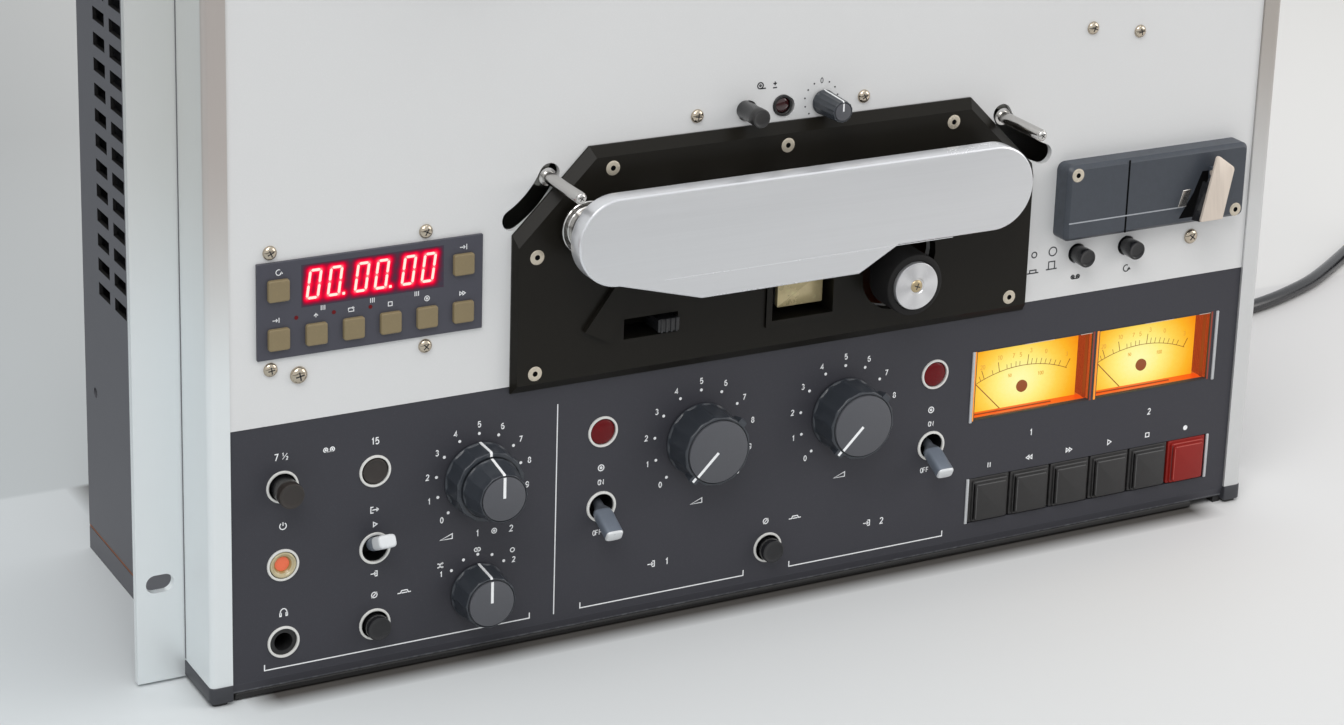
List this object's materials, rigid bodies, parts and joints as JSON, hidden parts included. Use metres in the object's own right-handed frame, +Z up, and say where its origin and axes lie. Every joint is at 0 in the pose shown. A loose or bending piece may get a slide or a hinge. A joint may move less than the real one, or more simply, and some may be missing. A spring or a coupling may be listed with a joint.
{
  "type": "reel-to-reel tape recorder",
  "caption": "Rack-mount reel-to-reel tape recorder with reel tables, head cover, tape counter, level knobs, toggle switches, transport keys and lit level meters.",
  "frame": {"origin": "on the surface under the recorder, in the middle of its width and of its depth over the tape guide rods and the strain relief", "axes": "+X to the right seen from the front, +Y to the back, +Z up"},
  "size_m": [0.8211, 0.2771, 0.4014],
  "materials": {
    "frame_steel": "satin",
    "deck_paint": "satin, light grey",
    "panel_paint": "matte, dark grey",
    "cover_paint": "fine texture, grey",
    "rail_paint": "satin",
    "cap_plastic": "matte",
    "housing_plastic": "matte",
    "head_metal": "milled",
    "splicer_anodised": "anodised blue grey",
    "counter_plastic": "matte",
    "meter_card": "lit scale card",
    "ring_plastic": "satin",
    "connector_plastic": "matte",
    "table_aluminium": "turned",
    "arm_steel": "bright",
    "roller_rubber": "matte with an aluminium cap",
    "capstan_steel": "ground",
    "roller_chrome": "polished",
    "hood_aluminium": "satin",
    "lever_steel": "satin",
    "slide_plastic": "matte",
    "knob_plastic": "matte",
    "button_black": "satin",
    "power_plastic": "milky",
    "record_plastic": "matte",
    "toggle_white": "satin",
    "toggle_grey": "satin",
    "needle_black": "matte",
    "lead_rubber": "satin",
    "plug_plastic": "matte",
    "key_plastic": "matte",
    "count_key_plastic": "matte"
  },
  "bodies": {
    "recorder": {"chassis": "frame_steel", "deck_plate": "deck_paint", "control_panel": "panel_paint", "rear_cover": "cover_paint", "side_rails": "rail_paint", "corner_caps": "cap_plastic", "head_housing": "housing_plastic", "head_block": "head_metal", "splicing_block": "splicer_anodised", "counter_module": "counter_plastic", "vu_meters": "meter_card", "panel_fittings": "ring_plastic", "connector_panel": "connector_plastic", "mains_cord": "lead_rubber", "cord_coil": "lead_rubber", "mains_plug": "plug_plastic"},
    "reel_table_left": {"reel_table_left": "table_aluminium"},
    "reel_table_right": {"reel_table_right": "table_aluminium"},
    "tension_arm_left": {"tension_arm_left": "arm_steel"},
    "tension_arm_right": {"tension_arm_right": "arm_steel"},
    "pinch_arm": {"pinch_arm": "arm_steel"},
    "pinch_roller": {"pinch_roller": "roller_rubber"},
    "capstan": {"capstan": "capstan_steel"},
    "guide_roller": {"guide_roller": "roller_chrome"},
    "head_cover": {"head_cover": "hood_aluminium"},
    "cutter_lever": {"cutter_lever": "lever_steel"},
    "edit_lever": {"edit_lever": "slide_plastic"},
    "output_knob_outer": {"output_knob_outer": "knob_plastic"},
    "output_knob_inner": {"output_knob_inner": "knob_plastic"},
    "mode_knob": {"mode_knob": "knob_plastic"},
    "input_knob_one": {"input_knob_one": "knob_plastic"},
    "input_knob_two": {"input_knob_two": "knob_plastic"},
    "varispeed_knob": {"varispeed_knob": "button_black"},
    "varispeed_button": {"varispeed_button": "button_black"},
    "power_button": {"power_button": "power_plastic"},
    "slow_speed_button": {"slow_speed_button": "button_black"},
    "fast_speed_button": {"fast_speed_button": "button_black"},
    "output_uncal_button": {"output_uncal_button": "button_black"},
    "input_uncal_button": {"input_uncal_button": "button_black"},
    "reel_size_button": {"reel_size_button": "button_black"},
    "tape_dump_button": {"tape_dump_button": "button_black"},
    "pause_key": {"pause_key": "key_plastic"},
    "rewind_key": {"rewind_key": "key_plastic"},
    "forward_key": {"forward_key": "key_plastic"},
    "play_key": {"play_key": "key_plastic"},
    "stop_key": {"stop_key": "key_plastic"},
    "record_key": {"record_key": "record_plastic"},
    "reset_key": {"reset_key": "count_key_plastic"},
    "transfer_key": {"transfer_key": "count_key_plastic"},
    "zero_locate_key": {"zero_locate_key": "count_key_plastic"},
    "address_locate_key": {"address_locate_key": "count_key_plastic"},
    "repeat_key": {"repeat_key": "count_key_plastic"},
    "set_key": {"set_key": "count_key_plastic"},
    "select_key": {"select_key": "count_key_plastic"},
    "step_key": {"step_key": "count_key_plastic"},
    "output_toggle": {"output_toggle": "toggle_white"},
    "ready_toggle_one": {"ready_toggle_one": "toggle_grey"},
    "ready_toggle_two": {"ready_toggle_two": "toggle_grey"},
    "meter_needle_one": {"meter_needle_one": "needle_black"},
    "meter_needle_two": {"meter_needle_two": "needle_black"}
  },
  "joints": [
    {"name": "reel_table_left_turn", "type": "hinge", "parent": "recorder", "child": "reel_table_left", "pos_m": [-0.136, -0.084, 0.318], "axis": [0, 1, 0], "continuous": true},
    {"name": "reel_table_right_turn", "type": "hinge", "parent": "recorder", "child": "reel_table_right", "pos_m": [0.136, -0.084, 0.318], "axis": [0, 1, 0], "continuous": true},
    {"name": "tension_arm_left_turn", "type": "hinge", "parent": "recorder", "child": "tension_arm_left", "pos_m": [-0.1274, -0.069, 0.1965], "axis": [0, 1, 0], "range_deg": [0, 32], "stiffness_Nm_per_rad": 0.03, "springref_deg": -20.05},
    {"name": "tension_arm_right_turn", "type": "hinge", "parent": "recorder", "child": "tension_arm_right", "pos_m": [0.1274, -0.069, 0.1965], "axis": [0, -1, 0], "range_deg": [0, 32], "stiffness_Nm_per_rad": 0.03, "springref_deg": -20.05},
    {"name": "pinch_arm_turn", "type": "hinge", "parent": "recorder", "child": "pinch_arm", "pos_m": [0.082, -0.069, 0.112], "axis": [0, 1, 0], "range_deg": [0, 12], "stiffness_Nm_per_rad": 0.08, "springref_deg": -17.19},
    {"name": "pinch_roller_turn", "type": "hinge", "parent": "pinch_arm", "child": "pinch_roller", "pos_m": [0.0482, -0.086, 0.125], "axis": [0, 1, 0], "continuous": true},
    {"name": "capstan_turn", "type": "hinge", "parent": "recorder", "child": "capstan", "pos_m": [0.05264, -0.079, 0.14654], "axis": [0, 1, 0], "continuous": true},
    {"name": "guide_roller_turn", "type": "hinge", "parent": "recorder", "child": "guide_roller", "pos_m": [-0.0831, -0.084, 0.1616], "axis": [0, 1, 0], "continuous": true},
    {"name": "head_cover_turn", "type": "hinge", "parent": "recorder", "child": "head_cover", "pos_m": [-0.02, -0.091, 0.1375], "axis": [1, 0, 0], "range_deg": [0, 90]},
    {"name": "cutter_lever_turn", "type": "hinge", "parent": "recorder", "child": "cutter_lever", "pos_m": [0.19, -0.0842, 0.149], "axis": [1, 0, 0], "range_deg": [0, 8], "stiffness_Nm_per_rad": 0.02, "springref_deg": -11.46},
    {"name": "edit_lever_press", "type": "slide", "parent": "recorder", "child": "edit_lever", "axis": [-1, 0, 0], "range_m": [0, 0.01]},
    {"name": "output_knob_outer_turn", "type": "hinge", "parent": "recorder", "child": "output_knob_outer", "pos_m": [-0.121, -0.079, 0.07], "axis": [0, 1, 0], "range_deg": [-135, 135]},
    {"name": "output_knob_inner_turn", "type": "hinge", "parent": "recorder", "child": "output_knob_inner", "pos_m": [-0.121, -0.09, 0.07], "axis": [0, 1, 0], "range_deg": [-135, 135]},
    {"name": "mode_knob_turn", "type": "hinge", "parent": "recorder", "child": "mode_knob", "pos_m": [-0.121, -0.08, 0.0255], "axis": [0, 1, 0], "range_deg": [-47.4, 47.4]},
    {"name": "input_knob_one_turn", "type": "hinge", "parent": "recorder", "child": "input_knob_one", "pos_m": [-0.031, -0.082, 0.07], "axis": [0, 1, 0], "range_deg": [0, 270]},
    {"name": "input_knob_two_turn", "type": "hinge", "parent": "recorder", "child": "input_knob_two", "pos_m": [0.031, -0.082, 0.07], "axis": [0, 1, 0], "range_deg": [0, 270]},
    {"name": "varispeed_knob_turn", "type": "hinge", "parent": "recorder", "child": "varispeed_knob", "pos_m": [0.0158, -0.081, 0.195], "axis": [0, 1, 0], "range_deg": [-135, 135]},
    {"name": "varispeed_button_press", "type": "slide", "parent": "recorder", "child": "varispeed_button", "axis": [0, 1, 0], "range_m": [0, 0.004], "stiffness_N_per_m": 150},
    {"name": "power_button_press", "type": "slide", "parent": "recorder", "child": "power_button", "axis": [0, 1, 0], "range_m": [0, 0.002], "stiffness_N_per_m": 150},
    {"name": "slow_speed_button_press", "type": "slide", "parent": "recorder", "child": "slow_speed_button", "axis": [0, 1, 0], "range_m": [0, 0.0089]},
    {"name": "fast_speed_button_press", "type": "slide", "parent": "recorder", "child": "fast_speed_button", "axis": [0, 1, 0], "range_m": [-0.0089, 0]},
    {"name": "output_uncal_button_press", "type": "slide", "parent": "recorder", "child": "output_uncal_button", "axis": [0, 1, 0], "range_m": [0, 0.0035], "stiffness_N_per_m": 150},
    {"name": "input_uncal_button_press", "type": "slide", "parent": "recorder", "child": "input_uncal_button", "axis": [0, 1, 0], "range_m": [0, 0.0035], "stiffness_N_per_m": 150},
    {"name": "reel_size_button_press", "type": "slide", "parent": "recorder", "child": "reel_size_button", "axis": [0, 1, 0], "range_m": [0, 0.004], "stiffness_N_per_m": 150},
    {"name": "tape_dump_button_press", "type": "slide", "parent": "recorder", "child": "tape_dump_button", "axis": [0, 1, 0], "range_m": [0, 0.004], "stiffness_N_per_m": 150},
    {"name": "pause_key_press", "type": "slide", "parent": "recorder", "child": "pause_key", "axis": [0, 1, 0], "range_m": [0, 0.0025], "stiffness_N_per_m": 250},
    {"name": "rewind_key_press", "type": "slide", "parent": "recorder", "child": "rewind_key", "axis": [0, 1, 0], "range_m": [0, 0.0025], "stiffness_N_per_m": 250},
    {"name": "forward_key_press", "type": "slide", "parent": "recorder", "child": "forward_key", "axis": [0, 1, 0], "range_m": [0, 0.0025], "stiffness_N_per_m": 250},
    {"name": "play_key_press", "type": "slide", "parent": "recorder", "child": "play_key", "axis": [0, 1, 0], "range_m": [0, 0.0025], "stiffness_N_per_m": 250},
    {"name": "stop_key_press", "type": "slide", "parent": "recorder", "child": "stop_key", "axis": [0, 1, 0], "range_m": [0, 0.0025], "stiffness_N_per_m": 250},
    {"name": "record_key_press", "type": "slide", "parent": "recorder", "child": "record_key", "axis": [0, 1, 0], "range_m": [0, 0.0025], "stiffness_N_per_m": 250},
    {"name": "reset_key_press", "type": "slide", "parent": "recorder", "child": "reset_key", "axis": [0, 1, 0], "range_m": [0, 0.001], "stiffness_N_per_m": 250},
    {"name": "transfer_key_press", "type": "slide", "parent": "recorder", "child": "transfer_key", "axis": [0, 1, 0], "range_m": [0, 0.001], "stiffness_N_per_m": 250},
    {"name": "zero_locate_key_press", "type": "slide", "parent": "recorder", "child": "zero_locate_key", "axis": [0, 1, 0], "range_m": [0, 0.001], "stiffness_N_per_m": 250},
    {"name": "address_locate_key_press", "type": "slide", "parent": "recorder", "child": "address_locate_key", "axis": [0, 1, 0], "range_m": [0, 0.001], "stiffness_N_per_m": 250},
    {"name": "repeat_key_press", "type": "slide", "parent": "recorder", "child": "repeat_key", "axis": [0, 1, 0], "range_m": [0, 0.001], "stiffness_N_per_m": 250},
    {"name": "set_key_press", "type": "slide", "parent": "recorder", "child": "set_key", "axis": [0, 1, 0], "range_m": [0, 0.001], "stiffness_N_per_m": 250},
    {"name": "select_key_press", "type": "slide", "parent": "recorder", "child": "select_key", "axis": [0, 1, 0], "range_m": [0, 0.001], "stiffness_N_per_m": 250},
    {"name": "step_key_press", "type": "slide", "parent": "recorder", "child": "step_key", "axis": [0, 1, 0], "range_m": [0, 0.001], "stiffness_N_per_m": 250},
    {"name": "output_toggle_turn", "type": "hinge", "parent": "recorder", "child": "output_toggle", "pos_m": [-0.1612, -0.071, 0.0496], "axis": [1, 0, 0], "range_deg": [0, 54]},
    {"name": "ready_toggle_one_turn", "type": "hinge", "parent": "recorder", "child": "ready_toggle_one", "pos_m": [-0.0714, -0.071, 0.0496], "axis": [1, 0, 0], "range_deg": [-54, 0]},
    {"name": "ready_toggle_two_turn", "type": "hinge", "parent": "recorder", "child": "ready_toggle_two", "pos_m": [0.0714, -0.071, 0.0496], "axis": [1, 0, 0], "range_deg": [-54, 0]},
    {"name": "meter_needle_one_turn", "type": "hinge", "parent": "recorder", "child": "meter_needle_one", "pos_m": [0.1175, -0.0656, 0.0466], "axis": [0, 1, 0], "range_deg": [0, 90], "stiffness_Nm_per_rad": 0.0002, "springref_deg": -11.46},
    {"name": "meter_needle_two_turn", "type": "hinge", "parent": "recorder", "child": "meter_needle_two", "pos_m": [0.1749, -0.0656, 0.0466], "axis": [0, 1, 0], "range_deg": [0, 90], "stiffness_Nm_per_rad": 0.0002, "springref_deg": -11.46}
  ],
  "couplings": [
    {"joint": "fast_speed_button_press", "follows": "slow_speed_button_press", "ratio": -1}
  ]
}
